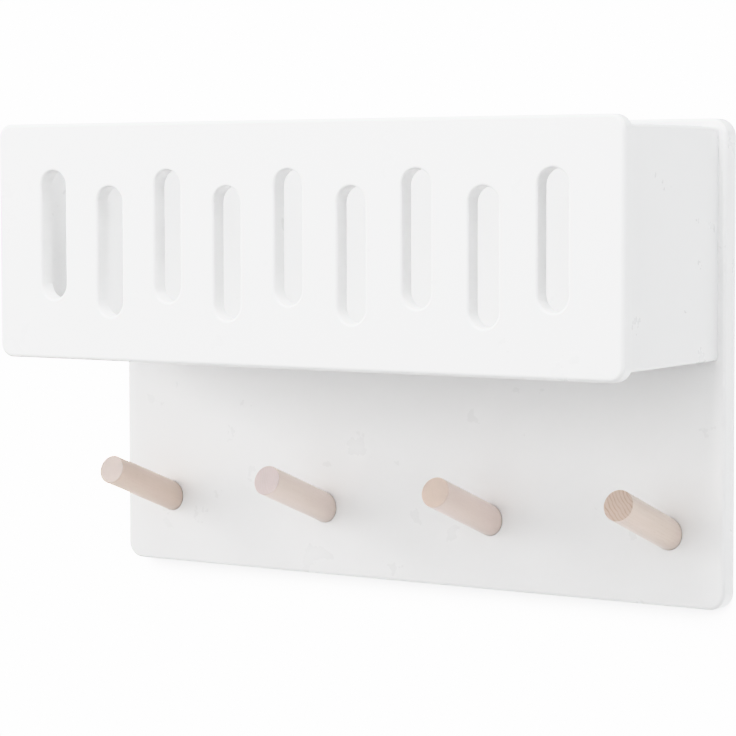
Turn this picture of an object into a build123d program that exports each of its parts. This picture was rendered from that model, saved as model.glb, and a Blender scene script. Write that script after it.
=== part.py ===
"""Wall hook rack: a board with four tilted pegs below an open-topped storage box with a slotted front.

Frame: the origin is the centre of the back panel's rear face, which lies on the wall. +Z is up, +X is to the
right for someone who faces the rack, and the front looks towards -Y. All sizes are in millimetres.
"""

from build123d import *
import os

# ---------------------------------------------------------------- driving dimensions
WIDTH = 600.0  # both panels
HEIGHT = 395.0  # back panel
BACK_T = 19.0  # back panel thickness
BACK_CORNER_R = 14.0  # corner radius of the back panel's outline
BACK_ARRIS_R = 3.0  # rounding of its front edges
REAR_ARRIS_R = 1.0  # rounding of its rear edges

FRONT_H = 200.0  # front panel, its top level with the back panel's
FRONT_T = 15.0
FRONT_CORNER_R = 12.0
FRONT_ARRIS_R = 3.5  # rounding of its outer front edges
FRONT_REAR_ARRIS_R = 3.0

BOX_DEPTH = 163.0  # clear depth between the two panels
BOARD_T = 12.0  # the three boards of the box
BOX_END_INSET = 7.0  # from the panels' ends to the end boards
BOX_TOP_INSET = 7.0  # from the panels' top to the end boards' top
BOX_BOTTOM_INSET = 6.5  # from the front panel's bottom up to the boards
BOARD_ARRIS_R = 2.5

SLOT_COUNT = 9
SLOT_PITCH = 60.0
SLOT_W = 26.5
SLOT_L = 109.0
SLOT_HIGH_Z = 103.0  # centre height of the odd slots
SLOT_LOW_Z = 89.5  # centre height of the even slots
SLOT_ARRIS_R = 2.2  # rounding of the slots' mouths

PEG_COUNT = 4
PEG_END_INSET = 50.0  # from the panel's ends to the outer pegs
PEG_Z = -137.5  # where a peg's axis leaves the back panel's front face
PEG_R = 12.75
PEG_LENGTH = 94.0  # along the axis, from the panel's face to the tip
PEG_TILT = 20.0  # degrees above level
PEG_TIP_R = 0.8
SOCKET_DEPTH = 10.0  # along the peg's axis, below the panel's face
SOCKET_GAP = 0.1  # radial play of a peg in its socket

SCREW_R = 2.0
SCREW_HEAD_R = 4.0
RECESS_REACH = 1.1  # length of a cross recess's arms, tip to tip, over the head's radius
RECESS_WIDTH = 0.22  # width of its arms over the head's radius
RECESS_DEPTH = 0.6  # its depth over the head's height
POINT_LENGTH = 2.0  # a screw's point over its shank's radius
BACK_SCREW_LENGTH = 45.0
PEG_SCREW_LENGTH = 40.0
PEG_SCREW_RISE = 3.0  # the screw sits above the axis, which climbs as it leaves the wall
END_SCREW_Z = (30.0, 97.0, 164.0)
BOTTOM_SCREW_X = (-210.0, -70.0, 70.0, 210.0)

DOWEL_R = 3.0
DOWEL_LENGTH = 30.0
DOWEL_CHAMFER = 0.8
DOWEL_IN_FRONT = 10.0  # depth of a dowel in the front panel
DOWEL_IN_SIDE = 8.0  # depth of a dowel in an end board
END_DOWEL_Z = (30.0, 97.0, 164.0)
BOTTOM_DOWEL_X = (-240.0, -120.0, 0.0, 120.0, 240.0)
CORNER_DOWEL_Y = (-48.0, -100.5, -153.0)

HANGER_X = 200.0  # the keyholes stand 400 mm apart
HANGER_Z = 150.0  # centre of the keyhole's round entry
PLATE_W = 18.0
PLATE_L = 54.0
PLATE_T = 2.0
PLATE_CENTRE_RISE = 5.0  # from the entry's centre up to the plate's centre
KEYHOLE_ENTRY_R = 5.0
KEYHOLE_NECK_W = 5.0
KEYHOLE_DROP = 13.0  # from the entry's centre to the neck's end
POCKET_W = 12.0
POCKET_DEPTH = 10.0  # room for a wall screw's head behind the plate
PLATE_SCREW_SPACING = 42.0
PLATE_SCREW_R = 1.5
PLATE_SCREW_HEAD_R = 2.9
PLATE_SCREW_LENGTH = 14.0

# ---------------------------------------------------------------- places worked out from them
TOP = HEIGHT / 2
BACK_FACE = -BACK_T  # y of the back panel's front face
FRONT_REAR = BACK_FACE - BOX_DEPTH  # y of the front panel's rear face
FRONT_CENTRE_Z = TOP - FRONT_H / 2
BOX_TOP = TOP - BOX_TOP_INSET
BOX_BOTTOM = TOP - FRONT_H + BOX_BOTTOM_INSET
BOARD_H = BOX_TOP - BOX_BOTTOM
END_X = WIDTH / 2 - BOX_END_INSET - BOARD_T / 2  # x of an end board's mid-plane
INNER_X = END_X - BOARD_T / 2
FLOOR_Z = BOX_BOTTOM + BOARD_T / 2  # z of the floor's mid-plane
PEG_SPAN = WIDTH - 2 * PEG_END_INSET
PEG_XS = [-PEG_SPAN / 2 + k * PEG_SPAN / (PEG_COUNT - 1) for k in range(PEG_COUNT)]
PLATE_Z = HANGER_Z + PLATE_CENTRE_RISE

FORWARDS = (0, -1, 0)
TO_WALL = (0, 1, 0)


def facing(direction, x, y, z):
    """A work plane at a point, with its normal along the given direction."""
    return Plane(origin=(x, y, z), z_dir=direction)


def on_wall_side(points):
    """Work planes on the back panel's rear face, at (x, z) points."""
    return [facing(TO_WALL, x, 0, z) for x, z in points]


def board_end(points):
    """Work planes on the rear ends of the box boards, at (x, z) points."""
    return [facing(TO_WALL, x, BACK_FACE, z) for x, z in points]


def sunk(planes, depth):
    """The same planes, moved back along their normals."""
    return [plane.offset(-depth) for plane in planes]


def peg_plane(x):
    """The plane across a peg's axis where the axis leaves the back panel."""
    upright = Plane(origin=(x, BACK_FACE, PEG_Z), x_dir=(1, 0, 0), z_dir=FORWARDS)
    return upright.rotated((-PEG_TILT, 0, 0))


def save(builder, node):
    """Label a finished piece and write its STEP file."""
    builder.part.label = node
    export_step(builder.part, f"parts/{node}.step")


def wood_screw(length, shank_r, head_r):
    """A countersunk cross-head screw that points down -Z, with its head flush at the origin."""
    head_h = head_r - shank_r  # a 90 degree head
    point_h = POINT_LENGTH * shank_r
    with BuildPart() as screw:
        with BuildSketch(Plane.XZ):
            with BuildLine():
                Polyline(
                    (0, 0),
                    (head_r, 0),
                    (shank_r, -head_h),
                    (shank_r, point_h - length),
                    (0, -length),
                    close=True,
                )
            make_face()
        revolve(axis=Axis.Z)
        with BuildSketch():
            Rectangle(RECESS_REACH * head_r, RECESS_WIDTH * head_r)
            Rectangle(RECESS_WIDTH * head_r, RECESS_REACH * head_r)
        extrude(amount=-RECESS_DEPTH * head_h, mode=Mode.SUBTRACT)
    return screw.part


def dowel():
    """A plain dowel with bevelled ends that stands on the origin along +Z."""
    with BuildPart() as pin:
        Cylinder(DOWEL_R, DOWEL_LENGTH, align=(Align.CENTER, Align.CENTER, Align.MIN))
        chamfer(pin.edges().filter_by(GeomType.CIRCLE), DOWEL_CHAMFER)
    return pin.part


def group(node, piece, planes):
    """Several copies of one fastener, kept as separate solids of one node."""
    with BuildPart() as copies:
        with Locations(*planes):
            add(piece)
    save(copies, node)


def sides():
    """The two ends of the rack: a name and the sign of its x."""
    return (("left", -1), ("right", 1))


os.makedirs("parts", exist_ok=True)

# ---------------------------------------------------------------- where the fasteners go
end_screw_points = {name: [(s * END_X, z) for z in END_SCREW_Z] for name, s in sides()}
bottom_screw_points = [(x, FLOOR_Z) for x in BOTTOM_SCREW_X]
peg_screw_points = [(x, PEG_Z + PEG_SCREW_RISE) for x in PEG_XS]
plate_screw_points = {
    name: [(s * HANGER_X, PLATE_Z + k * PLATE_SCREW_SPACING / 2) for k in (-1, 1)]
    for name, s in sides()
}
board_screw_points = end_screw_points["left"] + end_screw_points["right"] + bottom_screw_points
# a joint plane lies where two pieces meet, with its normal into the piece that takes the longer half
end_joints = {
    name: [facing(TO_WALL, s * END_X, FRONT_REAR, z) for z in END_DOWEL_Z] for name, s in sides()
}
bottom_joints = [facing(TO_WALL, x, FRONT_REAR, FLOOR_Z) for x in BOTTOM_DOWEL_X]
corner_joints = {
    name: [facing((-s, 0, 0), s * INNER_X, y, FLOOR_Z) for y in CORNER_DOWEL_Y]
    for name, s in sides()
}

# ---------------------------------------------------------------- back panel
with BuildPart() as back_panel:
    with BuildSketch(Plane.XZ):
        RectangleRounded(WIDTH, HEIGHT, BACK_CORNER_R)
    extrude(amount=BACK_T)
    fillet(back_panel.faces().sort_by(Axis.Y)[0].edges(), BACK_ARRIS_R)
    fillet(back_panel.faces().sort_by(Axis.Y)[-1].edges(), REAR_ARRIS_R)
    for x in PEG_XS:
        with BuildSketch(peg_plane(x).offset(-SOCKET_DEPTH)):
            Circle(PEG_R + SOCKET_GAP)
        extrude(amount=SOCKET_DEPTH + PEG_R, mode=Mode.SUBTRACT)
    with Locations(*on_wall_side(board_screw_points + peg_screw_points)):
        CounterSinkHole(SCREW_R, SCREW_HEAD_R, depth=BACK_T, counter_sink_angle=90)
    for name, s in sides():
        with BuildSketch(Plane.XZ):
            with Locations((s * HANGER_X, PLATE_Z)):
                SlotOverall(PLATE_L, PLATE_W, rotation=90)
        extrude(amount=PLATE_T, mode=Mode.SUBTRACT)
        with BuildSketch(Plane.XZ.offset(PLATE_T)):
            with Locations((s * HANGER_X, HANGER_Z + KEYHOLE_DROP / 2)):
                SlotCenterToCenter(KEYHOLE_DROP, POCKET_W, rotation=90)
        extrude(amount=POCKET_DEPTH, mode=Mode.SUBTRACT)
        with Locations(*[facing(TO_WALL, x, -PLATE_T, z) for x, z in plate_screw_points[name]]):
            Hole(PLATE_SCREW_R, depth=PLATE_SCREW_LENGTH - PLATE_T)
save(back_panel, "back_panel")

# ---------------------------------------------------------------- front panel
with BuildPart() as front_panel:
    with BuildSketch(Plane.XZ.offset(-FRONT_REAR)):
        with Locations((0, FRONT_CENTRE_Z)):
            RectangleRounded(WIDTH, FRONT_H, FRONT_CORNER_R)
        for k in range(SLOT_COUNT):
            slot_x = (k - (SLOT_COUNT - 1) / 2) * SLOT_PITCH
            slot_z = SLOT_HIGH_Z if k % 2 == 0 else SLOT_LOW_Z
            with Locations((slot_x, slot_z)):
                SlotOverall(SLOT_L, SLOT_W, rotation=90, mode=Mode.SUBTRACT)
    extrude(amount=FRONT_T)
    slot_mouths = front_panel.faces().sort_by(Axis.Y)[0].inner_wires()
    fillet([edge for mouth in slot_mouths for edge in mouth.edges()], SLOT_ARRIS_R)
    fillet(front_panel.faces().sort_by(Axis.Y)[0].outer_wire().edges(), FRONT_ARRIS_R)
    fillet(front_panel.faces().sort_by(Axis.Y)[-1].outer_wire().edges(), FRONT_REAR_ARRIS_R)
    with Locations(*end_joints["left"], *end_joints["right"], *bottom_joints):
        Hole(DOWEL_R, depth=DOWEL_IN_FRONT)
save(front_panel, "front_panel")

# ---------------------------------------------------------------- end boards of the box
for name, s in sides():
    with BuildPart() as box_side:
        with BuildSketch(Plane.XZ.offset(-BACK_FACE)):
            with Locations((s * END_X, (BOX_TOP + BOX_BOTTOM) / 2)):
                Rectangle(BOARD_T, BOARD_H)
        extrude(amount=BOX_DEPTH)
        long_edges = box_side.edges().filter_by(Axis.Y)
        floor_side = long_edges.group_by(Axis.Z)[0].sort_by(Axis.X)[0 if s > 0 else -1]
        fillet([edge for edge in long_edges if edge != floor_side], BOARD_ARRIS_R)
        with Locations(*board_end(end_screw_points[name])):
            Hole(SCREW_R, depth=BACK_SCREW_LENGTH - BACK_T)
        with Locations(*end_joints[name]):
            Hole(DOWEL_R, depth=DOWEL_LENGTH - DOWEL_IN_FRONT)
        with Locations(*corner_joints[name]):
            Hole(DOWEL_R, depth=DOWEL_IN_SIDE)
    save(box_side, f"box_side_{name}")

# ---------------------------------------------------------------- floor of the box
with BuildPart() as box_bottom:
    with BuildSketch(Plane.XZ.offset(-BACK_FACE)):
        with Locations((0, FLOOR_Z)):
            Rectangle(2 * INNER_X, BOARD_T)
    extrude(amount=BOX_DEPTH)
    with Locations(*board_end(bottom_screw_points)):
        Hole(SCREW_R, depth=BACK_SCREW_LENGTH - BACK_T)
    with Locations(*bottom_joints):
        Hole(DOWEL_R, depth=DOWEL_LENGTH - DOWEL_IN_FRONT)
    with Locations(*corner_joints["left"], *corner_joints["right"]):
        Hole(DOWEL_R, depth=DOWEL_LENGTH - DOWEL_IN_SIDE)
save(box_bottom, "box_bottom")

# ---------------------------------------------------------------- pegs and their screws
for k, x in enumerate(PEG_XS, start=1):
    with BuildPart() as peg:
        with BuildSketch(peg_plane(x).offset(-SOCKET_DEPTH)):
            Circle(PEG_R)
        extrude(amount=SOCKET_DEPTH + PEG_LENGTH)
        fillet(peg.edges().filter_by(GeomType.CIRCLE).sort_by(Axis.Y)[0], PEG_TIP_R)
        with Locations(*on_wall_side([peg_screw_points[k - 1]])):
            Hole(SCREW_R, depth=PEG_SCREW_LENGTH)
    save(peg, f"peg_{k}")
    group(
        f"peg_screw_{k}",
        wood_screw(PEG_SCREW_LENGTH, SCREW_R, SCREW_HEAD_R),
        on_wall_side([peg_screw_points[k - 1]]),
    )

# ---------------------------------------------------------------- box fasteners
board_screw = wood_screw(BACK_SCREW_LENGTH, SCREW_R, SCREW_HEAD_R)
group("back_screws_bottom", board_screw, on_wall_side(bottom_screw_points))
group("front_dowels_bottom", dowel(), sunk(bottom_joints, DOWEL_IN_FRONT))
for name, s in sides():
    group(f"back_screws_{name}", board_screw, on_wall_side(end_screw_points[name]))
    group(f"front_dowels_{name}", dowel(), sunk(end_joints[name], DOWEL_IN_FRONT))
    group(f"corner_dowels_{name}", dowel(), sunk(corner_joints[name], DOWEL_IN_SIDE))

# ---------------------------------------------------------------- keyhole hangers
for name, s in sides():
    with BuildPart() as hanger_plate:
        with BuildSketch(Plane.XZ):
            with Locations((s * HANGER_X, PLATE_Z)):
                SlotOverall(PLATE_L, PLATE_W, rotation=90)
            with Locations((s * HANGER_X, HANGER_Z)):
                Circle(KEYHOLE_ENTRY_R, mode=Mode.SUBTRACT)
            with Locations((s * HANGER_X, HANGER_Z + KEYHOLE_DROP / 2)):
                SlotCenterToCenter(KEYHOLE_DROP, KEYHOLE_NECK_W, rotation=90, mode=Mode.SUBTRACT)
        extrude(amount=PLATE_T)
        with Locations(*on_wall_side(plate_screw_points[name])):
            CounterSinkHole(PLATE_SCREW_R, PLATE_SCREW_HEAD_R, depth=PLATE_T, counter_sink_angle=90)
    save(hanger_plate, f"hanger_plate_{name}")
    plate_screw = wood_screw(PLATE_SCREW_LENGTH, PLATE_SCREW_R, PLATE_SCREW_HEAD_R)
    group(f"hanger_screws_{name}", plate_screw, on_wall_side(plate_screw_points[name]))
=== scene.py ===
"""Looks of a wall hook rack: satin-lacquered boards, pale wooden pegs and zinc-plated fittings.

Every length is in metres in the row frame: +Z up, +X to the right, the front looks towards -Y, and the back
panel's rear face lies on the wall at y = 0.
"""

import logging
import math
from dataclasses import dataclass, field
from enum import Enum

import bmesh
import bpy
from mathutils import Matrix, Vector, noise
from mathutils.geometry import tessellate_polygon


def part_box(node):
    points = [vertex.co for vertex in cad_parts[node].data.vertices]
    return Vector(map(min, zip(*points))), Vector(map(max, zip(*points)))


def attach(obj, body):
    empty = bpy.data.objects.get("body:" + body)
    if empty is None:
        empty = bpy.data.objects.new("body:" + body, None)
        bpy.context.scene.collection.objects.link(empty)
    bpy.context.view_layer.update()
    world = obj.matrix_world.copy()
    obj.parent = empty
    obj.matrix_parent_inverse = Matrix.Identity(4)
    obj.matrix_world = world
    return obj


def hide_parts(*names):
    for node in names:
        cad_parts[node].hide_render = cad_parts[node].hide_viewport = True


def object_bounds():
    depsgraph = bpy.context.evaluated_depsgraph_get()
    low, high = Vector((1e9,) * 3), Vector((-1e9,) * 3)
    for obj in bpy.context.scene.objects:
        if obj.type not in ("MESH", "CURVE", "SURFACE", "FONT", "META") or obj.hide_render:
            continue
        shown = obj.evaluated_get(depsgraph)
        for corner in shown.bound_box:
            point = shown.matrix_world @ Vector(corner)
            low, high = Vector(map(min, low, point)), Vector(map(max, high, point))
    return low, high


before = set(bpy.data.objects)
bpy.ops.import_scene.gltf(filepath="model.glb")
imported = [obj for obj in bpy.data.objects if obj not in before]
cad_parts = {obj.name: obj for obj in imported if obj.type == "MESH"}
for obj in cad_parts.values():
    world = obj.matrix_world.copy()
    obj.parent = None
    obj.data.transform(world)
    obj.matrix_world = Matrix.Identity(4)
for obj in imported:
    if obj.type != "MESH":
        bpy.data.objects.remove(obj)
CAD_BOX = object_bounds()

MM = 0.001
ROOT = "root"
log = logging.getLogger("wall_hook_rack")

Colour = tuple[float, float, float]


# ---------------------------------------------------------------- node trees
class Graph:
    """A node tree with short calls to add and join nodes."""

    def __init__(self, tree: bpy.types.NodeTree) -> None:
        """Keep the tree.

        Args:
            tree: the node tree of a material or of a node group.
        """
        self.tree = tree

    def add(self, kind: str, settings: dict | None = None, **inputs) -> bpy.types.Node:
        """Add a node, set its properties and fill its inputs.

        Args:
            kind: the node's type name, such as ShaderNodeMath.
            settings: properties of the node itself.
            inputs: a value or an output socket for each named input, with _ for a space, or nN for the Nth.

        Returns:
            The new node.
        """
        node = self.tree.nodes.new(kind)
        for key, value in (settings or {}).items():
            setattr(node, key, value)
        for key, value in inputs.items():
            numbered = key[0] == "n" and key[1:].isdigit()
            socket = node.inputs[int(key[1:]) if numbered else key.replace("_", " ")]
            if isinstance(value, bpy.types.NodeSocket):
                self.tree.links.new(value, socket)
            else:
                socket.default_value = value
        return node

    def math(self, operation: str, *terms) -> bpy.types.NodeSocket:
        """Add a math node and return its result.

        Args:
            operation: the math node's operation.
            terms: its inputs in order, as values or output sockets.

        Returns:
            The result socket.
        """
        inputs = {f"n{k}": term for k, term in enumerate(terms)}
        return self.add("ShaderNodeMath", {"operation": operation}, **inputs).outputs[0]

    def vector(self, operation: str, *terms) -> bpy.types.NodeSocket:
        """Add a vector math node and return its vector.

        Args:
            operation: the vector math node's operation.
            terms: its inputs in order, as values or output sockets.

        Returns:
            The vector socket.
        """
        inputs = {f"n{k}": term for k, term in enumerate(terms)}
        return self.add("ShaderNodeVectorMath", {"operation": operation}, **inputs).outputs[0]

    def noise(self, where, scale: float, detail: float = 2.0, roughness: float = 0.5) -> bpy.types.NodeSocket:
        """Add a noise texture and return its value, which is about 0.5 on average.

        Args:
            where: the coordinates.
            scale: waves to the metre.
            detail: how many finer layers it has.
            roughness: how strong the finer layers are.

        Returns:
            The noise value socket.
        """
        node = self.add("ShaderNodeTexNoise", Vector=where, Scale=scale, Detail=detail, Roughness=roughness)
        return node.outputs[0]

    def remap(self, value, low: float, high: float, out_low=0.0, out_high=1.0) -> bpy.types.NodeSocket:
        """Map a range of values to another, clamped.

        Args:
            value: the value socket.
            low: the value that becomes out_low.
            high: the value that becomes out_high.
            out_low: the first end of the new range.
            out_high: the last end of the new range.

        Returns:
            The mapped value socket.
        """
        node = self.add("ShaderNodeMapRange", n0=value, n1=low, n2=high, n3=out_low, n4=out_high)
        return node.outputs[0]

    def mix(self, share, first, second, blend: str = "MIX") -> bpy.types.NodeSocket:
        """Mix two colours.

        Args:
            share: how much of the second colour, 0 to 1.
            first: a colour or a colour socket.
            second: a colour or a colour socket.
            blend: the blend mode.

        Returns:
            The mixed colour socket.
        """
        settings = {"data_type": "RGBA", "blend_type": blend}
        return self.add("ShaderNodeMix", settings, n0=share, n6=first, n7=second).outputs[2]


def rgba(colour: Colour) -> tuple[float, float, float, float]:
    """Return the colour with an alpha of 1."""
    return (*colour, 1.0)


@dataclass(frozen=True)
class Socket:
    """One input or output of a shader node group."""

    name: str
    kind: str = "NodeSocketFloat"
    value: float | tuple | None = None


def new_group(name: str, inputs: list[Socket], outputs: list[Socket]) -> tuple[Graph, bpy.types.Node, bpy.types.Node]:
    """Start a shader node group.

    Args:
        name: the group's name.
        inputs: its input sockets, with their usual values.
        outputs: its output sockets.

    Returns:
        The group's graph, its input node and its output node.
    """
    tree = bpy.data.node_groups.new(name, "ShaderNodeTree")
    for socket in inputs:
        made = tree.interface.new_socket(name=socket.name, in_out="INPUT", socket_type=socket.kind)
        if socket.value is not None:
            made.default_value = socket.value
    for socket in outputs:
        tree.interface.new_socket(name=socket.name, in_out="OUTPUT", socket_type=socket.kind)
    graph = Graph(tree)
    return graph, graph.add("NodeGroupInput"), graph.add("NodeGroupOutput")


class Effects:
    """The shader node groups that several materials share."""

    def __init__(self) -> None:
        """Build each group once."""
        self.lacquer_film = self._lacquer_film()
        self.edge_wear = self._edge_wear()
        self.wood_grain = self._wood_grain()

    def _lacquer_film(self) -> bpy.types.NodeTree:
        """Sprayed lacquer: a slow drift of tone, orange peel and a fine tooth.

        Returns:
            The node group, with inputs Colour, Drift, Peel and outputs Colour, Gloss Mask, Height.
        """
        graph, given, out = new_group(
            "lacquer_film",
            [
                Socket("Colour", "NodeSocketColor", (0.85, 0.85, 0.85, 1.0)),
                Socket("Drift", value=0.01),
                Socket("Peel", value=1.0),
            ],
            [Socket("Colour", "NodeSocketColor"), Socket("Gloss Mask"), Socket("Height")],
        )
        where = graph.add("ShaderNodeNewGeometry").outputs["Position"]
        slow = graph.noise(where, 9.0, 3.0)
        drift = graph.math("MULTIPLY", graph.math("SUBTRACT", slow, 0.5), given.outputs["Drift"])
        tone = graph.add("ShaderNodeHueSaturation", Value=graph.math("ADD", drift, 1.0), Color=given.outputs["Colour"])
        graph.tree.links.new(tone.outputs[0], out.inputs["Colour"])
        patches = graph.noise(where, 26.0, 4.0, 0.6)
        graph.tree.links.new(patches, out.inputs["Gloss Mask"])
        peel = graph.noise(where, 420.0, 1.0)
        tooth = graph.noise(where, 2600.0, 2.0)
        mixed = graph.math("MULTIPLY_ADD", tooth, 0.22, peel)
        graph.tree.links.new(graph.math("MULTIPLY", mixed, given.outputs["Peel"]), out.inputs["Height"])
        return graph.tree

    def _edge_wear(self) -> bpy.types.NodeTree:
        """Where a surface turns sharply, broken up by noise.

        Returns:
            The node group, with inputs Width, Breakup and output Mask.
        """
        graph, given, out = new_group(
            "edge_wear", [Socket("Width", value=0.001), Socket("Breakup", value=0.5)], [Socket("Mask")]
        )
        geometry = graph.add("ShaderNodeNewGeometry")
        bevel = graph.add("ShaderNodeBevel", {"samples": 4}, Radius=given.outputs["Width"])
        dot = graph.add("ShaderNodeVectorMath", {"operation": "DOT_PRODUCT"}, n0=bevel.outputs[0],
                        n1=geometry.outputs["Normal"]).outputs["Value"]
        turned = graph.remap(dot, 0.995, 0.80)
        grit = graph.noise(geometry.outputs["Position"], 140.0, 4.0, 0.65)
        broken = graph.math("MULTIPLY", graph.remap(grit, 0.42, 0.66), given.outputs["Breakup"])
        graph.tree.links.new(graph.math("MULTIPLY", turned, broken), out.inputs["Mask"])
        return graph.tree

    def _wood_grain(self) -> bpy.types.NodeTree:
        """Straight-grained pale hardwood in the piece's own space, its grain along Z.

        Growth rings lie round a pith beside the piece, so they run as faint stripes along it and as arcs across
        its ends. Short dark flecks follow the grain, and the cut ends take a tone of their own.

        Returns:
            The node group, with outputs Colour, Roughness Mask and Height.
        """
        graph, given, out = new_group(
            "wood_grain",
            [
                Socket("Early", "NodeSocketColor", (0.70, 0.62, 0.55, 1.0)),
                Socket("Late", "NodeSocketColor", (0.50, 0.40, 0.32, 1.0)),
                Socket("End", "NodeSocketColor", (0.70, 0.62, 0.55, 1.0)),
                Socket("Ring Strength", value=0.4),
                Socket("End Strength", value=0.6),
                Socket("Ring Spacing", value=0.0022),
                Socket("Fleck Strength", value=0.4),
                Socket("Pith", "NodeSocketVector", (0.03, 0.02, 0.0)),
                Socket("Seed", value=0.0),
            ],
            [Socket("Colour", "NodeSocketColor"), Socket("Roughness Mask"), Socket("Height")],
        )
        place = graph.add("ShaderNodeTexCoord")
        own = place.outputs["Object"]
        faces_end = graph.add("ShaderNodeSeparateXYZ", Vector=place.outputs["Normal"]).outputs["Z"]
        end = graph.remap(graph.math("ABSOLUTE", faces_end), 0.55, 0.9)
        seed = given.outputs["Seed"]
        shift = graph.add("ShaderNodeCombineXYZ", X=seed, Y=seed, Z=seed).outputs[0]
        shifted = graph.vector("ADD", own, shift)
        stretched = graph.vector("MULTIPLY", shifted, (1.0, 1.0, 0.06))
        wander = graph.add("ShaderNodeTexNoise", Vector=stretched, Scale=70.0, Detail=2.0).outputs["Color"]
        drift = graph.add("ShaderNodeVectorMath", {"operation": "SCALE"},
                          n0=graph.vector("SUBTRACT", wander, (0.5, 0.5, 0.5)), Scale=0.006).outputs[0]
        flat = graph.vector("MULTIPLY", graph.vector("ADD", own, drift), (1.0, 1.0, 0.035))
        radius = graph.add("ShaderNodeVectorMath", {"operation": "DISTANCE"}, n0=flat,
                           n1=given.outputs["Pith"]).outputs["Value"]
        saw = graph.math("FRACT", graph.math("DIVIDE", radius, given.outputs["Ring Spacing"]))
        late = graph.math("MULTIPLY", graph.remap(saw, 0.55, 0.94), graph.remap(saw, 1.0, 0.94))
        uneven = graph.remap(graph.noise(stretched, 160.0, 2.0), 0.30, 0.62, 0.35, 1.0)
        strength = graph.add("ShaderNodeMix", {"data_type": "FLOAT"}, n0=end, n2=given.outputs["Ring Strength"],
                             n3=given.outputs["End Strength"]).outputs[0]
        rings = graph.math("MULTIPLY", graph.math("MULTIPLY", late, uneven), strength)
        threads = graph.noise(graph.vector("MULTIPLY", shifted, (1.0, 1.0, 0.03)), 1500.0, 2.0, 0.6)
        fibres = graph.remap(threads, 0.35, 0.7)
        fleck_noise = graph.noise(graph.vector("MULTIPLY", shifted, (1.0, 1.0, 0.22)), 900.0, 1.0)
        flecks = graph.math("MULTIPLY", graph.remap(fleck_noise, 0.64, 0.74), given.outputs["Fleck Strength"])
        base = graph.mix(end, given.outputs["Early"], given.outputs["End"])
        colour = graph.mix(rings, base, given.outputs["Late"])
        colour = graph.mix(graph.math("MULTIPLY", fibres, 0.05), colour, given.outputs["Late"])
        colour = graph.mix(flecks, colour, given.outputs["Late"])
        blotch = graph.remap(graph.noise(stretched, 45.0, 2.0), 0.3, 0.7, 0.95, 1.04)
        toned = graph.add("ShaderNodeHueSaturation", Value=blotch, Color=colour).outputs[0]
        graph.tree.links.new(toned, out.inputs["Colour"])
        graph.tree.links.new(fibres, out.inputs["Roughness Mask"])
        low = graph.math("MULTIPLY_ADD", flecks, -0.6, graph.math("MULTIPLY", fibres, -0.5))
        graph.tree.links.new(graph.math("MULTIPLY_ADD", rings, -0.4, low), out.inputs["Height"])
        return graph.tree


# ---------------------------------------------------------------- finishes
def new_material(name: str) -> tuple[bpy.types.Material, Graph, bpy.types.Node]:
    """Start a material with a Principled shader.

    Args:
        name: the material's name.

    Returns:
        The material, its graph and its Principled node.
    """
    material = bpy.data.materials.new(name)
    material.use_nodes = True
    graph = Graph(material.node_tree)
    return material, graph, material.node_tree.nodes["Principled BSDF"]


@dataclass(frozen=True)
class Lacquer:
    """White satin lacquer sprayed on fibreboard."""

    name: str = "satin_lacquer"
    colour: Colour = (0.90, 0.90, 0.90)
    worn: Colour = (0.80, 0.79, 0.77)
    roughness: tuple[float, float] = (0.272, 0.288)
    peel_depth: float = 0.00001

    def material(self, effects: Effects) -> bpy.types.Material:
        """Build the material.

        Args:
            effects: the shared shader groups.

        Returns:
            The lacquer material.
        """
        material, graph, shader = new_material(self.name)
        film = graph.add("ShaderNodeGroup", {"node_tree": effects.lacquer_film}, Colour=rgba(self.colour), Drift=0.003)
        wear = graph.add("ShaderNodeGroup", {"node_tree": effects.edge_wear}, Width=0.0012, Breakup=0.35)
        colour = graph.mix(wear.outputs["Mask"], film.outputs["Colour"], rgba(self.worn))
        gloss = graph.remap(film.outputs["Gloss Mask"], 0.3, 0.7, *self.roughness)
        bump = graph.add("ShaderNodeBump", Height=film.outputs["Height"], Distance=self.peel_depth, Strength=1.0)
        link = graph.tree.links.new
        link(colour, shader.inputs["Base Color"])
        link(gloss, shader.inputs["Roughness"])
        link(bump.outputs[0], shader.inputs["Normal"])
        return material


@dataclass(frozen=True)
class Hardwood:
    """Pale hardwood, limewashed or plain."""

    name: str
    early: Colour
    late: Colour
    end: Colour
    ring_strength: float = 0.15
    end_strength: float = 0.2
    ring_spacing: float = 2.2 * MM
    fleck_strength: float = 0.12
    pith: tuple[float, float, float] = (0.030, 0.012, 0.0)
    seed: float = 0.0
    roughness: tuple[float, float] = (0.36, 0.48)
    sheen: float = 0.35
    sheen_roughness: float = 0.35
    grain_depth: float = 0.08 * MM

    def material(self, effects: Effects) -> bpy.types.Material:
        """Build the material.

        Args:
            effects: the shared shader groups.

        Returns:
            The wood material.
        """
        material, graph, shader = new_material(self.name)
        wood = graph.add(
            "ShaderNodeGroup",
            {"node_tree": effects.wood_grain},
            Early=rgba(self.early),
            Late=rgba(self.late),
            End=rgba(self.end),
            Ring_Strength=self.ring_strength,
            End_Strength=self.end_strength,
            Ring_Spacing=self.ring_spacing,
            Fleck_Strength=self.fleck_strength,
            Pith=self.pith,
            Seed=self.seed,
        )
        rough = graph.remap(wood.outputs["Roughness Mask"], 0.0, 1.0, *self.roughness)
        bump = graph.add("ShaderNodeBump", Height=wood.outputs["Height"], Distance=self.grain_depth, Strength=0.8)
        link = graph.tree.links.new
        shader.inputs["Sheen Weight"].default_value = self.sheen
        shader.inputs["Sheen Roughness"].default_value = self.sheen_roughness
        link(wood.outputs["Colour"], shader.inputs["Base Color"])
        link(rough, shader.inputs["Roughness"])
        link(bump.outputs[0], shader.inputs["Normal"])
        return material


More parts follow.
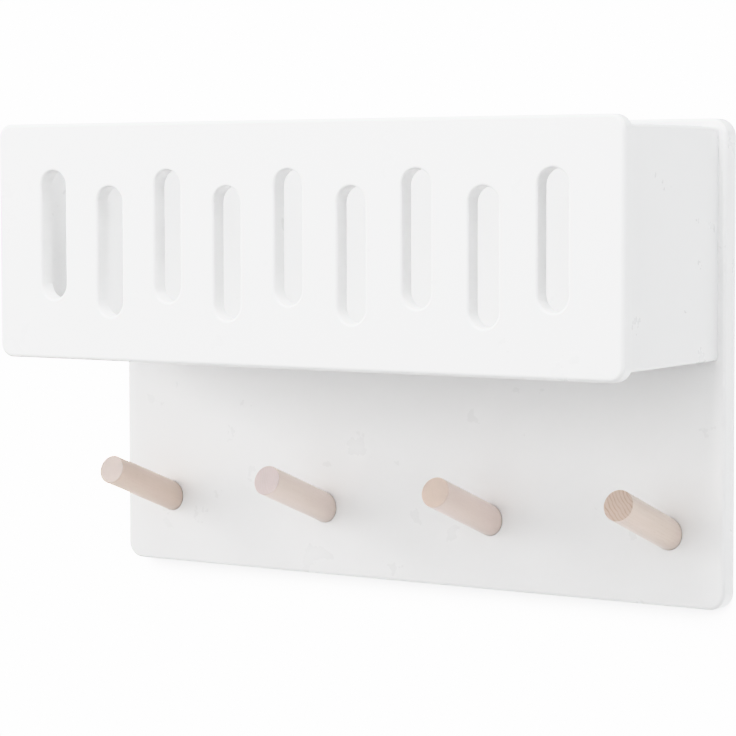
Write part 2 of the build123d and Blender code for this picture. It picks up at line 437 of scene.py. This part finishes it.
PEG_WOODS = (
    Hardwood("peg_wood_1", (0.78, 0.65, 0.57), (0.56, 0.42, 0.34), (0.68, 0.60, 0.56), 0.03, 0.06, seed=0.0),
    Hardwood("peg_wood_2", (0.85, 0.74, 0.68), (0.58, 0.45, 0.37), (0.69, 0.60, 0.59), 0.03, 0.20, seed=3.1),
    Hardwood("peg_wood_3", (0.81, 0.69, 0.635), (0.56, 0.43, 0.35), (0.69, 0.57, 0.50), 0.03, 0.08, seed=5.7),
    Hardwood(
        "peg_wood_4", (0.80, 0.69, 0.62), (0.46, 0.31, 0.21), (0.63, 0.515, 0.45), 0.07, 0.85,
        ring_spacing=2.9 * MM, pith=(0.045, 0.035, 0.0), seed=9.2,
    ),
)


@dataclass(frozen=True)
class ZincPlate:
    """Bright zinc plating on steel."""

    name: str = "zinc_plate"
    bright: Colour = (0.72, 0.73, 0.75)
    dull: Colour = (0.52, 0.53, 0.54)

    def material(self, effects: Effects) -> bpy.types.Material:
        """Build the material.

        Args:
            effects: the shared shader groups.

        Returns:
            The metal material.
        """
        material, graph, shader = new_material(self.name)
        where = graph.add("ShaderNodeNewGeometry").outputs["Position"]
        spangle = graph.noise(where, 700.0, 3.0, 0.6)
        drawn = graph.noise(graph.vector("MULTIPLY", where, (1.0, 1.0, 0.08)), 4200.0, 2.0)
        wear = graph.add("ShaderNodeGroup", {"node_tree": effects.edge_wear}, Width=0.0004, Breakup=0.8)
        colour = graph.mix(graph.remap(spangle, 0.35, 0.65), rgba(self.bright), rgba(self.dull))
        colour = graph.mix(wear.outputs["Mask"], colour, rgba(self.dull))
        bump = graph.add("ShaderNodeBump", Height=graph.math("MULTIPLY_ADD", drawn, 0.5, spangle),
                         Distance=0.00001, Strength=0.6)
        link = graph.tree.links.new
        link(colour, shader.inputs["Base Color"])
        link(graph.remap(drawn, 0.3, 0.7, 0.24, 0.42), shader.inputs["Roughness"])
        link(bump.outputs[0], shader.inputs["Normal"])
        shader.inputs["Metallic"].default_value = 1.0
        return material


def dress(node: str, material: bpy.types.Material) -> None:
    """Give a carried-over CAD node its material.

    Args:
        node: the CAD node's name.
        material: what it is made of.
    """
    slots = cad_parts[node].material_slots
    for slot in slots:
        slot.material = material
    log.info("%s dressed in %s", node, material.name)


# ---------------------------------------------------------------- mesh work
@dataclass
class Shape:
    """Corners and faces gathered for one closed mesh."""

    corners: list[Vector] = field(default_factory=list)
    faces: list[tuple[int, ...]] = field(default_factory=list)

    def ring(self, points: list[Vector]) -> list[int]:
        """Add corners and return their numbers."""
        start = len(self.corners)
        self.corners.extend(points)
        return list(range(start, len(self.corners)))

    def band(self, first: list[int], second: list[int]) -> list[int]:
        """Join two closed rings of equal length with four-sided faces.

        Args:
            first: the corners of one ring.
            second: the corners of the other, in the same order.

        Returns:
            The second ring, so that bands can follow one another.
        """
        for k, corner in enumerate(first):
            after = (k + 1) % len(first)
            self.faces.append((corner, first[after], second[after], second[k]))
        return second

    def fan(self, ring: list[int], centre: Vector) -> None:
        """Close a ring with triangles that meet at a point."""
        hub = self.ring([centre])[0]
        for k, corner in enumerate(ring):
            self.faces.append((corner, ring[(k + 1) % len(ring)], hub))

    def cap(self, *rings: list[int]) -> None:
        """Fill the flat space inside the first ring and outside the others."""
        numbers = [corner for ring in rings for corner in ring]
        loops = [[self.corners[corner] for corner in ring] for ring in rings]
        for triangle in tessellate_polygon(loops):
            self.faces.append(tuple(numbers[corner] for corner in triangle))

    def piece(self, name: str, offsets: list[Vector] | None = None, crease: float = 35.0) -> bpy.types.Object:
        """Turn the shape into an object, once for each offset.

        Args:
            name: the piece's name.
            offsets: where each copy stands in the piece's own space, or None for a single one.
            crease: edges that turn by more degrees than this stay crisp.

        Returns:
            The new object, not yet placed.
        """
        work = bmesh.new()
        for offset in offsets or [Vector()]:
            corners = [work.verts.new(corner + offset) for corner in self.corners]
            for face in self.faces:
                work.faces.new([corners[corner] for corner in face])
        bmesh.ops.recalc_face_normals(work, faces=work.faces)
        mesh = bpy.data.meshes.new(name)
        work.to_mesh(mesh)
        work.free()
        mesh.shade_smooth()
        mesh.set_sharp_from_angle(angle=math.radians(crease))
        piece = bpy.data.objects.new(name, mesh)
        bpy.context.scene.collection.objects.link(piece)
        weighted = piece.modifiers.new("weighted_normals", "WEIGHTED_NORMAL")
        weighted.keep_sharp = True
        return piece


def circle(radius: float, height: float, count: int, centre: float = 0.0) -> list[Vector]:
    """Points round a level circle.

    Args:
        radius: the circle's radius.
        height: its z.
        count: how many points.
        centre: the y of its centre.

    Returns:
        The points, anticlockwise from +X.
    """
    turns = [2 * math.pi * k / count for k in range(count)]
    return [Vector((radius * math.cos(turn), centre + radius * math.sin(turn), height)) for turn in turns]


def ease(share: float) -> float:
    """Return a smooth step from 0 to 1 for a share from 0 to 1."""
    share = min(1.0, max(0.0, share))
    return share * share * (3 - 2 * share)


def settle(piece: bpy.types.Object, place: Matrix, node: str, material: bpy.types.Material) -> None:
    """Place a piece, give it its material and let it stand for its CAD node.

    Args:
        piece: the piece.
        place: where it stands.
        node: the CAD node that it stands for.
        material: what it is made of.
    """
    piece.data.materials.append(material)
    piece.matrix_world = place
    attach(piece, ROOT)
    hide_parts(node)
    log.info("%s stands for %s", piece.name, node)


# ---------------------------------------------------------------- fittings
@dataclass(frozen=True)
class WoodScrew:
    """A countersunk cross-head wood screw, its head flat at the origin and its point down -Z."""

    length: float
    shank: float
    head: float
    pitch: float = 1.8 * MM
    around: int = 24
    rings_per_turn: int = 6
    core_share: float = 0.70
    plain_share: float = 0.30
    recess_reach: float = 0.62
    recess_width: float = 0.15

    def shape(self) -> Shape:
        """Make the screw.

        Returns:
            The screw's shape.
        """
        shape = Shape()
        head_height = self.head - self.shank
        mouth = shape.ring(self._cross(self.recess_reach, self.recess_width, 0.0))
        bottom = shape.ring(self._cross(self.recess_reach * 0.45, self.recess_width * 0.6, -0.7 * head_height))
        shape.band(mouth, bottom)
        shape.fan(bottom, Vector((0, 0, -0.95 * head_height)))
        rim = shape.ring(circle(0.95 * self.head, 0.0, self.around))
        shape.cap(rim, mouth)
        edge = shape.band(rim, shape.ring(circle(self.head, -0.05 * self.head, self.around)))
        last = shape.band(edge, shape.ring(circle(self.shank, -head_height - 0.05 * self.head, self.around)))
        thread_start = self.length * self.plain_share
        point_start = self.length - 2.4 * self.shank
        step = self.pitch / self.rings_per_turn
        depth = thread_start
        while depth < self.length - step:
            last = shape.band(last, shape.ring(self._thread_ring(depth, thread_start, point_start)))
            depth += step
        shape.fan(last, Vector((0, 0, -self.length)))
        return shape

    def _thread_ring(self, depth: float, thread_start: float, point_start: float) -> list[Vector]:
        """One ring of the thread.

        Args:
            depth: how far below the head's face it lies.
            thread_start: where the thread begins.
            point_start: where the point begins.

        Returns:
            The ring's corners.
        """
        grown = ease((depth - thread_start) / self.pitch)
        taper = 1.0 - max(0.0, depth - point_start) / (self.length - point_start)
        core = self.shank * (1 - grown * (1 - self.core_share))
        points = []
        for k in range(self.around):
            share = k / self.around
            phase = (depth / self.pitch + share) % 1.0
            ridge = max(0.0, 1 - abs(phase - 0.5) / 0.25)
            radius = (core + (self.shank - core) * ridge) * max(0.06, taper)
            turn = 2 * math.pi * share
            points.append(Vector((radius * math.cos(turn), radius * math.sin(turn), -depth)))
        return points

    def _cross(self, reach: float, width: float, height: float) -> list[Vector]:
        """The outline of the driver's recess.

        Args:
            reach: how far its arms reach, as a share of the head's radius.
            width: half the width of an arm, as a share of the head's radius.
            height: its z.

        Returns:
            The outline's twelve corners.
        """
        points = []
        for k in range(4):
            turn = Matrix.Rotation(k * math.pi / 2, 3, "Z")
            for x, y in ((reach, -width), (reach, width), (width, width)):
                points.append(turn @ Vector((x * self.head, y * self.head, 0)) + Vector((0, 0, height)))
        return points


@dataclass(frozen=True)
class FlutedDowel:
    """A grooved beech dowel with bevelled ends, its middle at the origin and its length along Z."""

    length: float = 30.0 * MM
    radius: float = 3.0 * MM
    bevel: float = 0.8 * MM
    flutes: int = 14
    flute_depth: float = 0.25 * MM
    around_flute: int = 6

    def shape(self) -> Shape:
        """Make the dowel.

        Returns:
            The dowel's shape.
        """
        shape = Shape()
        half = self.length / 2
        inner = self.radius - self.bevel
        levels = [(inner, -half), (self.radius, self.bevel - half), (self.radius, 0.0),
                  (self.radius, half - self.bevel), (inner, half)]
        rings = [shape.ring(self._ring(radius, height)) for radius, height in levels]
        for first, second in zip(rings, rings[1:]):
            shape.band(first, second)
        shape.fan(rings[0], Vector((0, 0, -half)))
        shape.fan(rings[-1], Vector((0, 0, half)))
        return shape

    def _ring(self, radius: float, height: float) -> list[Vector]:
        """One grooved ring of the dowel."""
        count = self.flutes * self.around_flute
        points = []
        for k in range(count):
            turn = 2 * math.pi * k / count
            groove = max(0.0, math.cos(turn * self.flutes)) ** 2 * self.flute_depth * radius / self.radius
            points.append(Vector(((radius - groove) * math.cos(turn), (radius - groove) * math.sin(turn), height)))
        return points


@dataclass(frozen=True)
class Row:
    """Equal fasteners of one CAD node that stand side by side."""

    node: str
    count: int
    spread: str
    points: str = "Y"

    def build(self, name: str, shape: Shape, reach: float, slot: str, material: bpy.types.Material) -> None:
        """Make the row as one piece.

        Args:
            name: the piece's name.
            shape: one fastener, along Z.
            reach: the fastener's largest radius.
            slot: the name of a material slot; not used.
            material: what it is made of.
        """
        low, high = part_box(self.node)
        middle = (low + high) / 2
        along = self._axis(self.points)
        turn = along.to_track_quat("Z", "Y").to_matrix()
        head_first = min(corner.z for corner in shape.corners) < -max(corner.z for corner in shape.corners) - MM
        origin = middle + along * ((high - low).dot(along) / 2 if head_first else 0.0)
        side = self._axis(self.spread)
        span = (high - low).dot(side) - 2 * reach
        places = [0.0] if self.count == 1 else [k / (self.count - 1) - 0.5 for k in range(self.count)]
        offsets = [turn.inverted() @ (side * place * span) for place in places]
        piece = shape.piece(name, offsets)
        settle(piece, Matrix.Translation(origin) @ turn.to_4x4(), self.node, material)

    @staticmethod
    def _axis(name: str) -> Vector:
        """Return the unit vector of a named axis."""
        return Vector([1.0 if letter == name else 0.0 for letter in "XYZ"])


@dataclass
class Fittings:
    """Screws, dowels and keyhole plates."""

    screw_shank: float = 2.0 * MM
    screw_head: float = 4.0 * MM
    board_screw: float = 45.0 * MM
    peg_screw: float = 40.0 * MM
    plate_screw: float = 14.0 * MM
    plate_screw_shank: float = 1.5 * MM
    plate_screw_head: float = 2.9 * MM

    def build(self, zinc: bpy.types.Material, beech: bpy.types.Material) -> None:
        """Make every fitting.

        Args:
            zinc: the metal of screws and plates.
            beech: the wood of the dowels.
        """
        long_screw = WoodScrew(self.board_screw, self.screw_shank, self.screw_head)
        rows = [Row("back_screws_left", 3, "Z"), Row("back_screws_right", 3, "Z"), Row("back_screws_bottom", 4, "X")]
        for row in rows:
            row.build(f"wood_{row.node}", long_screw.shape(), self.screw_head, "zinc_steel", zinc)
        peg_screw = WoodScrew(self.peg_screw, self.screw_shank, self.screw_head)
        for k in range(1, 5):
            row = Row(f"peg_screw_{k}", 1, "X")
            row.build(f"wood_{row.node}", peg_screw.shape(), self.screw_head, "zinc_steel", zinc)
        short_screw = WoodScrew(self.plate_screw, self.plate_screw_shank, self.plate_screw_head, pitch=1.2 * MM)
        dowel = FlutedDowel()
        for side in ("left", "right"):
            row = Row(f"hanger_screws_{side}", 2, "Z")
            row.build(f"wood_{row.node}", short_screw.shape(), self.plate_screw_head, "zinc_steel", zinc)
            for row in (Row(f"front_dowels_{side}", 3, "Z"), Row(f"corner_dowels_{side}", 3, "Y", "X")):
                row.build(f"fluted_{row.node}", dowel.shape(), dowel.radius, "dowel_wood", beech)
            KeyholePlate().build(f"hanger_plate_{side}", zinc)
        row = Row("front_dowels_bottom", 5, "X")
        row.build(f"fluted_{row.node}", dowel.shape(), dowel.radius, "dowel_wood", beech)


@dataclass(frozen=True)
class KeyholePlate:
    """A pressed steel keyhole plate with softly rolled edges, its outer face up +Z and its neck up +Y."""

    width: float = 18.0 * MM
    height: float = 54.0 * MM
    thickness: float = 2.0 * MM
    roll: float = 0.35 * MM
    entry_drop: float = 5.0 * MM
    entry_radius: float = 5.0 * MM
    neck_half: float = 2.5 * MM
    neck_rise: float = 8.0 * MM
    screw_reach: float = 21.0 * MM
    screw_shank: float = 1.5 * MM
    screw_head: float = 2.9 * MM
    arc_steps: int = 24
    roll_steps: int = 4

    def build(self, node: str, zinc: bpy.types.Material) -> None:
        """Make the plate for one side.

        Args:
            node: the CAD node that it stands for.
            zinc: what it is made of.
        """
        low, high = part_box(node)
        shape = Shape()
        outer = self._wall(shape, self._outline, -1)
        keyhole = self._wall(shape, self._keyhole, 1)
        screw_holes = [self._countersink(shape, y) for y in (-self.screw_reach, self.screw_reach)]
        for end in (0, -1):
            shape.cap(outer[end], keyhole[end], *[hole[end] for hole in screw_holes])
        turn = Vector((0, 1, 0)).to_track_quat("Z", "Y").to_matrix().to_4x4()
        middle = (low + high) / 2
        place = Matrix.Translation((middle.x, high.y, middle.z)) @ turn
        settle(shape.piece(f"pressed_{node}", crease=30.0), place, node, zinc)

    def _wall(self, shape: Shape, outline, growth: int) -> list[list[int]]:
        """A wall through the plate with both of its edges rolled.

        Args:
            shape: where the wall goes.
            outline: a method that gives the outline, grown by a length, at a height.
            growth: 1 where the roll widens an opening, -1 where it narrows the plate.

        Returns:
            The wall's rings, from the outer face to the inner one.
        """
        levels = []
        for k in range(self.roll_steps + 1):
            turn = math.pi / 2 * k / self.roll_steps
            levels.append((self.roll * (1 - math.sin(turn)), -self.roll * (1 - math.cos(turn))))
        levels += [(grown, -self.thickness - height) for grown, height in reversed(levels)]
        rings = [shape.ring(outline(growth * grown, height)) for grown, height in levels]
        for first, second in zip(rings, rings[1:]):
            shape.band(first, second)
        return rings

    def _countersink(self, shape: Shape, centre: float) -> list[list[int]]:
        """A countersunk screw hole.

        Args:
            shape: where the hole goes.
            centre: its y.

        Returns:
            The hole's rings, from the outer face to the inner one.
        """
        depth = self.screw_head - self.screw_shank
        levels = [(self.screw_head, 0.0), (self.screw_shank, -depth), (self.screw_shank, -self.thickness)]
        rings = [shape.ring(circle(radius, height, self.arc_steps, centre)) for radius, height in levels]
        for first, second in zip(rings, rings[1:]):
            shape.band(first, second)
        return rings

    def _outline(self, grown: float, height: float) -> list[Vector]:
        """The plate's own outline: two half circles joined by straight sides."""
        radius = self.width / 2 + grown
        rise = self.height / 2 - self.width / 2
        points = []
        for base, start in ((rise, 0.0), (-rise, math.pi)):
            points += self._arc(radius, base, start, start + math.pi, height)
        return points

    def _keyhole(self, grown: float, height: float) -> list[Vector]:
        """The keyhole: a round entry with a narrow neck above it."""
        entry, neck = self.entry_radius + grown, self.neck_half + grown
        meet = math.acos(neck / entry)
        points = self._arc(neck, self.neck_rise, 0.0, math.pi, height)
        return points + self._arc(entry, -self.entry_drop, math.pi - meet, 2 * math.pi + meet, height)

    def _arc(self, radius: float, centre: float, start: float, end: float, height: float) -> list[Vector]:
        """Points along an arc round (0, centre), both ends included."""
        turns = [start + (end - start) * k / self.arc_steps for k in range(self.arc_steps + 1)]
        return [Vector((radius * math.cos(turn), centre + radius * math.sin(turn), height)) for turn in turns]


# ---------------------------------------------------------------- the pegs
@dataclass
class PegRow:
    """The turned pegs, each built in its own space with its axis and its grain along Z."""

    radius: float = 12.75 * MM
    length: float = 94.0 * MM
    root: float = 10.0 * MM
    tilt: float = math.radians(20.0)
    tip_round: float = 0.9 * MM
    root_bevel: float = 0.5 * MM
    waist: float = 0.55 * MM
    waist_rise: float = 0.45 * MM
    swell: float = 0.05 * MM
    fine_step: float = 0.2 * MM
    coarse_step: float = 3.5 * MM
    around: int = 112

    def build(self, woods: list[bpy.types.Material]) -> None:
        """Make and place every peg.

        Args:
            woods: one wood material for each peg, from left to right.
        """
        for k, wood in enumerate(woods, start=1):
            node = f"peg_{k}"
            settle(self._shape(k).piece(f"turned_{node}"), self._place(node), node, wood)

    def _place(self, node: str) -> Matrix:
        """Where a peg's own space lies: its origin on the back panel's face, its Z along the peg."""
        low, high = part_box(node)
        height = low.z + self.radius * math.cos(self.tilt) + self.root * math.sin(self.tilt)
        place = Matrix.Translation(((low.x + high.x) / 2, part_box("back_panel")[0].y, height))
        return place @ Matrix.Rotation(math.pi / 2 - self.tilt, 4, "X")

    def _levels(self) -> list[tuple[float, float]]:
        """The peg's profile from its root to its tip, as radius and height."""
        base = -self.root
        levels = [(self.radius - self.root_bevel, base), (self.radius, base + self.root_bevel)]
        reach = self.radius * math.tan(self.tilt) + self.waist_rise
        height = -reach
        while height < reach:
            levels.append((self.radius, height))
            height += self.fine_step
        while height < self.length - self.tip_round:
            levels.append((self.radius, height))
            height += self.coarse_step
        steps = 7
        for k in range(steps + 1):
            turn = math.pi / 2 * k / steps
            inset = self.tip_round * (1 - math.cos(turn))
            levels.append((self.radius - inset, self.length - self.tip_round * (1 - math.sin(turn))))
        return levels

    def _shape(self, seed: int) -> Shape:
        """One peg, a little uneven as turned and sanded wood is, and eased in where it enters the panel.

        Args:
            seed: which peg it is.

        Returns:
            The peg's shape.
        """
        shape = Shape()
        rings = []
        for radius, height in self._levels():
            points = []
            for k in range(self.around):
                turn = 2 * math.pi * k / self.around
                spot = Vector((1.7 * math.cos(turn), 1.7 * math.sin(turn), 26 * height + 40 * seed))
                out_of_panel = height * math.cos(self.tilt) - radius * math.sin(turn) * math.sin(self.tilt)
                eased = self.waist * (1 - ease(out_of_panel / self.waist_rise))
                uneven = self.swell * (noise.noise(spot) - 0.5) * radius / self.radius
                grown = radius + uneven - eased
                points.append(Vector((grown * math.cos(turn), grown * math.sin(turn), height)))
            rings.append(shape.ring(points))
        for first, second in zip(rings, rings[1:]):
            shape.band(first, second)
        shape.fan(rings[0], Vector((0, 0, -self.root)))
        face = rings[-1]
        for share in (0.93, 0.7, 0.4):
            ring = [shape.corners[corner].lerp(Vector((0, 0, self.length)), 1 - share) for corner in rings[-1]]
            face = shape.band(face, shape.ring(ring))
        shape.fan(face, Vector((0, 0, self.length)))
        return shape


# ---------------------------------------------------------------- studio
@dataclass(frozen=True)
class Softbox:
    """A soft light that looks at the rack, round unless it is given a width as well.

    Its bearing is measured from straight in front, positive to the right, and its rise from level.
    """

    name: str
    bearing: float
    rise: float
    distance: float
    diameter: float
    power: float
    colour: Colour = (1.0, 1.0, 1.0)
    width: float | None = None
    target: tuple[float, float, float] = (0.0, -0.1, 0.0)

    def build(self) -> None:
        """Make the light."""
        lamp = bpy.data.lights.new(self.name, "AREA")
        lamp.shape = "ELLIPSE"
        lamp.size = self.width or self.diameter
        lamp.size_y = self.diameter
        lamp.energy = self.power
        lamp.color = self.colour
        light = bpy.data.objects.new(self.name, lamp)
        bpy.context.scene.collection.objects.link(light)
        bearing, rise = math.radians(self.bearing), math.radians(self.rise)
        away = Vector((math.sin(bearing) * math.cos(rise), -math.cos(bearing) * math.cos(rise), math.sin(rise)))
        light.location = Vector(self.target) + away * self.distance
        light.rotation_euler = (-away).to_track_quat("-Z", "Y").to_euler()


@dataclass
class Studio:
    """A white wall with a painted shadow under the rack, a pale floor, soft lights and a white surround that is darker
    overhead.
    """

    surround_low: float = 1.28
    surround_high: float = 0.287
    # The wall's glow strengths: the low one paints a shadow on the wall under the rack, the high one is the open wall.
    wall_glow_and_painted_shadow: tuple[float, float] = (0.45, 6.0)
    painted_wall_shadow_reach: float = 30.0 * MM
    painted_wall_shadow_lean: tuple[float, float, float] = (0.0, -0.5, 0.866)
    painted_wall_shadow_span: tuple[float, float] = (0.5, 0.8)
    wall_tone: Colour = (0.92, 0.92, 0.92)
    wall_gap: float = 0.4 * MM
    reach: float = 4.0
    floor_drop: float = 1.0
    floor_tone: Colour = (0.85, 0.85, 0.85)
    floor_bounce: Colour = (0.53, 0.53, 0.53)
    floor_glow: float = 0.42
    lights: tuple[Softbox, ...] = (
        Softbox("overhead", 0, 75, 2.4, 1.2, 33.6),
        Softbox("overhead_front", 0, 60, 2.4, 1.2, 17.0),
        Softbox("wide_front", 0, 15, 2.6, 2.6, 19.0),
        Softbox("wide_left", -70, 15, 2.6, 2.0, 33.0),
        Softbox("side_right", 85, 20, 2.4, 1.2, 5.0, (0.96, 0.99, 1.0)),
        Softbox("high_right", 50, 35, 2.4, 1.2, 3.3, (0.96, 0.99, 1.0)),
        Softbox("strip_right", 58, 10, 2.4, 1.6, 0.4, width=0.3),
    )

    def build(self) -> None:
        """Make the stage and the lights."""
        self._surround()
        self._wall()
        self._floor()
        for light in self.lights:
            light.build()

    def _surround(self) -> None:
        """An even white surround that fades from the horizon upwards."""
        world = bpy.data.worlds.new("surround")
        bpy.context.scene.world = world
        world.use_nodes = True
        graph = Graph(world.node_tree)
        direction = graph.add("ShaderNodeTexCoord").outputs["Generated"]
        rise = graph.add("ShaderNodeSeparateXYZ", Vector=direction).outputs["Z"]
        strength = graph.remap(rise, -0.1, 0.5, self.surround_low, self.surround_high)
        background = world.node_tree.nodes["Background"]
        background.inputs["Color"].default_value = (1.0, 1.0, 1.0, 1.0)
        graph.tree.links.new(strength, background.inputs["Strength"])

    def _wall(self) -> None:
        """A wall behind the rack that only shows when it is looked at from the front."""
        low = CAD_BOX[0].z - self.floor_drop
        corners = [(-self.reach, self.wall_gap, low), (self.reach, self.wall_gap, low),
                   (self.reach, self.wall_gap, self.reach), (-self.reach, self.wall_gap, self.reach)]
        wall = self._sheet("wall", corners, self._wall_paint())
        wall.visible_diffuse = False
        wall.visible_glossy = False
        wall.visible_shadow = False

    def _floor(self) -> None:
        """A pale floor well below the rack, which throws back less light than it shows."""
        low = CAD_BOX[0].z - self.floor_drop
        corners = [(-self.reach, self.wall_gap, low), (-self.reach, -2 * self.reach, low),
                   (self.reach, -2 * self.reach, low), (self.reach, self.wall_gap, low)]
        material, graph, shader = new_material("floor_paint")
        seen = graph.add("ShaderNodeLightPath").outputs["Is Camera Ray"]
        tone = graph.mix(seen, rgba(self.floor_bounce), rgba(self.floor_tone))
        graph.tree.links.new(tone, shader.inputs["Base Color"])
        graph.tree.links.new(graph.math("MULTIPLY", seen, self.floor_glow), shader.inputs["Emission Strength"])
        shader.inputs["Emission Color"].default_value = (1.0, 1.0, 1.0, 1.0)
        shader.inputs["Roughness"].default_value = 0.9
        self._clear_from_behind(graph, shader)
        self._sheet("floor", corners, material)

    @staticmethod
    def _sheet(name: str, corners: list, paint: bpy.types.Material) -> bpy.types.Object:
        """Make one flat stage piece.

        Args:
            name: the sheet's name.
            corners: its four corners.
            paint: its material.

        Returns:
            The sheet.
        """
        mesh = bpy.data.meshes.new(name)
        mesh.from_pydata(corners, [], [(0, 1, 2, 3)])
        mesh.materials.append(paint)
        sheet = bpy.data.objects.new(name, mesh)
        bpy.context.scene.collection.objects.link(sheet)
        return sheet

    def _wall_paint(self) -> bpy.types.Material:
        """Matt white with a glow of its own that drops under the rack as a painted shadow driven by ambient occlusion,
        clear when looked at from behind.

        Returns:
            The wall's material.
        """
        material, graph, shader = new_material("backdrop_with_painted_shadow")
        shader.inputs["Base Color"].default_value = rgba(self.wall_tone)
        shader.inputs["Roughness"].default_value = 0.9
        shader.inputs["Specular IOR Level"].default_value = 0.0
        shader.inputs["Emission Color"].default_value = (1.0, 1.0, 1.0, 1.0)
        lean = graph.add("ShaderNodeCombineXYZ", X=self.painted_wall_shadow_lean[0], Y=self.painted_wall_shadow_lean[1],
                         Z=self.painted_wall_shadow_lean[2]).outputs[0]
        # Painted shadow: ambient occlusion towards the rack lowers the wall's glow under it, which paints a soft
        # shadow there.
        painted_shadow_ao = graph.add("ShaderNodeAmbientOcclusion", {"samples": 16}, Distance=self.painted_wall_shadow_reach,
                             Normal=lean).outputs["AO"]
        glow = graph.remap(painted_shadow_ao, *self.painted_wall_shadow_span, *self.wall_glow_and_painted_shadow)
        graph.tree.links.new(glow, shader.inputs["Emission Strength"])
        self._clear_from_behind(graph, shader)
        return material

    @staticmethod
    def _clear_from_behind(graph: Graph, shader: bpy.types.Node) -> None:
        """Let a sheet be seen from its front only.

        Args:
            graph: the graph of the sheet's material.
            shader: the material's Principled node.
        """
        clear = graph.add("ShaderNodeBsdfTransparent")
        behind = graph.add("ShaderNodeNewGeometry").outputs["Backfacing"]
        mixed = graph.add("ShaderNodeMixShader", n0=behind, n1=shader.outputs[0], n2=clear.outputs[0])
        output = graph.tree.nodes["Material Output"]
        graph.tree.links.new(mixed.outputs[0], output.inputs["Surface"])


@dataclass(frozen=True)
class Viewpoint:
    """A long lens to the right of the rack, a little above its middle."""

    place: tuple[float, float, float] = (1.1690, -1.9153, 0.1458)
    turn: float = math.radians(32.459)
    dip: float = math.radians(3.244)
    roll: float = math.radians(-0.133)
    lens: float = 127.2
    shift: float = -0.05

    def build(self) -> None:
        """Make the camera and make it the scene's own."""
        data = bpy.data.cameras.new("viewpoint")
        data.sensor_width = 36.0
        data.lens = self.lens
        data.shift_y = self.shift
        camera = bpy.data.objects.new("viewpoint", data)
        bpy.context.scene.collection.objects.link(camera)
        aim = Matrix.Rotation(self.turn, 4, "Z") @ Matrix.Rotation(math.pi / 2 - self.dip, 4, "X")
        camera.matrix_world = Matrix.Translation(self.place) @ aim @ Matrix.Rotation(self.roll, 4, "Z")
        bpy.context.scene.camera = camera


# ---------------------------------------------------------------- all of it
class Board(Enum):
    """The lacquered boards, which keep their CAD shapes."""

    BACK = "back_panel"
    FRONT = "front_panel"
    LEFT = "box_side_left"
    RIGHT = "box_side_right"
    BOTTOM = "box_bottom"


def main() -> None:
    """Build the camera, the studio and every finish and piece of the rack."""
    logging.basicConfig(level=logging.INFO, format="%(message)s")
    bpy.context.scene.view_settings.view_transform = "Khronos PBR Neutral"
    Viewpoint().build()
    Studio().build()
    effects = Effects()
    lacquer = Lacquer().material(effects)
    for board in Board:
        dress(board.value, lacquer)
    zinc = ZincPlate().material(effects)
    beech = Hardwood("dowel_beech", (0.62, 0.47, 0.32), (0.42, 0.28, 0.17), (0.58, 0.43, 0.29), 0.5, 0.5).material(effects)
    Fittings().build(zinc, beech)
    PegRow().build([wood.material(effects) for wood in PEG_WOODS])


if __name__ == "__main__":
    main()
